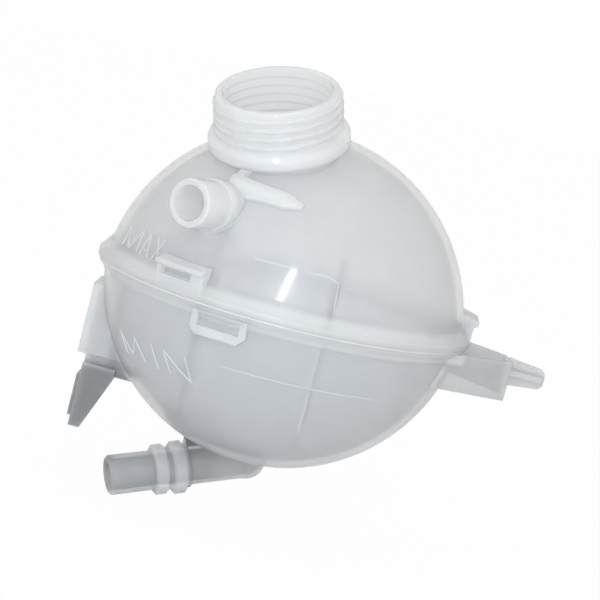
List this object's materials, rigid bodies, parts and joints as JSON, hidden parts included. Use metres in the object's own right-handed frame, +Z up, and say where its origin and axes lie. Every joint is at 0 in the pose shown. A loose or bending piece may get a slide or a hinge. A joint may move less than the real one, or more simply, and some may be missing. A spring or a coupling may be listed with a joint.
{
  "type": "coolant expansion tank",
  "caption": "Ball-shaped translucent plastic coolant expansion tank in two welded shells, with threaded filler neck, overflow port, hose outlet, foot and peg bracket.",
  "frame": {"origin": "on the axis of the locating peg, at the outer face of the bracket's end plate", "axes": "+X along the peg, away from the tank; +Z up as fitted, square to the weld plane, towards the filler neck"},
  "size_m": [0.1957, 0.161, 0.1962],
  "materials": {
    "natural_plastic_upper": "smooth translucent natural polypropylene",
    "natural_plastic_lower": "smooth translucent natural polypropylene"
  },
  "bodies": {
    "root": {"upper_shell": "natural_plastic_upper", "lower_shell": "natural_plastic_lower"}
  },
  "joints": []
}
